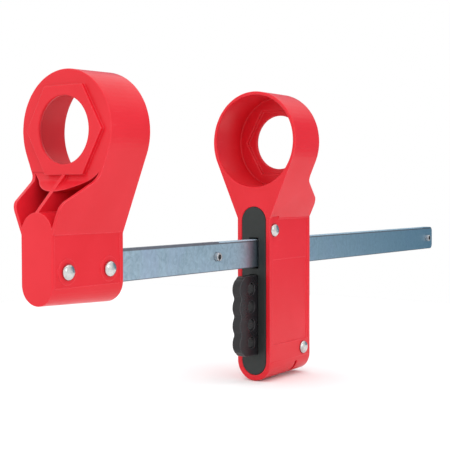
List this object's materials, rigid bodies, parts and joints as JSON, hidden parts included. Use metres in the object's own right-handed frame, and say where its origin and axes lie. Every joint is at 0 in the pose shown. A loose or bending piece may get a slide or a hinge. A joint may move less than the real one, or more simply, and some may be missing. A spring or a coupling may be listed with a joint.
{
  "type": "flange bolt lockout clamp",
  "caption": "Adjustable lockout clamp: two facing nut cups on a toothed flat bar, one fixed and one sliding on a ratchet with a padlockable finger trigger.",
  "frame": {"origin": "centre of the fixed head's bolt bore at the outer face of its hexagonal boss", "axes": "+X along the bolt and the bar from the fixed head to the bar's free end, +Z from the bar up to the cups, +Y across the heads"},
  "size_m": [0.5123, 0.072, 0.2114],
  "materials": {
    "red_moulding": "semi-gloss moulded",
    "black_moulding": "satin moulded",
    "black_grip": "semi-gloss moulded",
    "zinc_plate": "zinc plated, bluish, lightly mottled",
    "bright_rivet": "polished dome",
    "pin_steel": "plain",
    "spring_wire": "drawn wire",
    "hard_steel": "stamped, hardened"
  },
  "bodies": {
    "fixed_head_and_bar": {"fixed_head_shell": "red_moulding", "fixed_head_socket": "black_moulding", "fixed_head_rivets": "bright_rivet", "bar": "zinc_plate", "inner_stop_pin": "pin_steel", "end_stop_pin": "pin_steel"},
    "sliding_head": {"sliding_head_shell": "red_moulding", "carrier": "black_moulding", "upper_rivet": "bright_rivet", "lower_rivet": "bright_rivet", "rear_bar_guide": "black_moulding", "spring_block": "black_moulding", "spring_guide_pins": "pin_steel", "trigger_spring_upper": "spring_wire", "trigger_spring_lower": "spring_wire", "pawl_spring": "spring_wire"},
    "trigger": {"trigger": "black_grip", "cam_plate": "hard_steel", "cam_plate_pin": "pin_steel"},
    "lock_yoke": {"lock_yoke": "hard_steel", "pawl": "hard_steel", "pawl_rivets": "pin_steel", "follower_pin": "pin_steel", "follower_clips": "pin_steel"}
  },
  "joints": [
    {"name": "head_slide", "type": "slide", "parent": "fixed_head_and_bar", "child": "sliding_head", "axis": [1, 0, 0], "range_m": [-0.0458, 0.222]},
    {"name": "trigger_squeeze", "type": "slide", "parent": "sliding_head", "child": "trigger", "axis": [1, 0, 0], "range_m": [0, 0.008], "stiffness_N_per_m": 900, "springref_m": -0.004, "deforming": ["trigger_spring_upper", "trigger_spring_lower"]},
    {"name": "pawl_lift", "type": "slide", "parent": "sliding_head", "child": "lock_yoke", "axis": [0, 0, 1], "range_m": [0, 0.0024], "deforming": ["pawl_spring"]}
  ],
  "couplings": [
    {"joint": "pawl_lift", "follows": "trigger_squeeze", "ratio": 0.3}
  ]
}
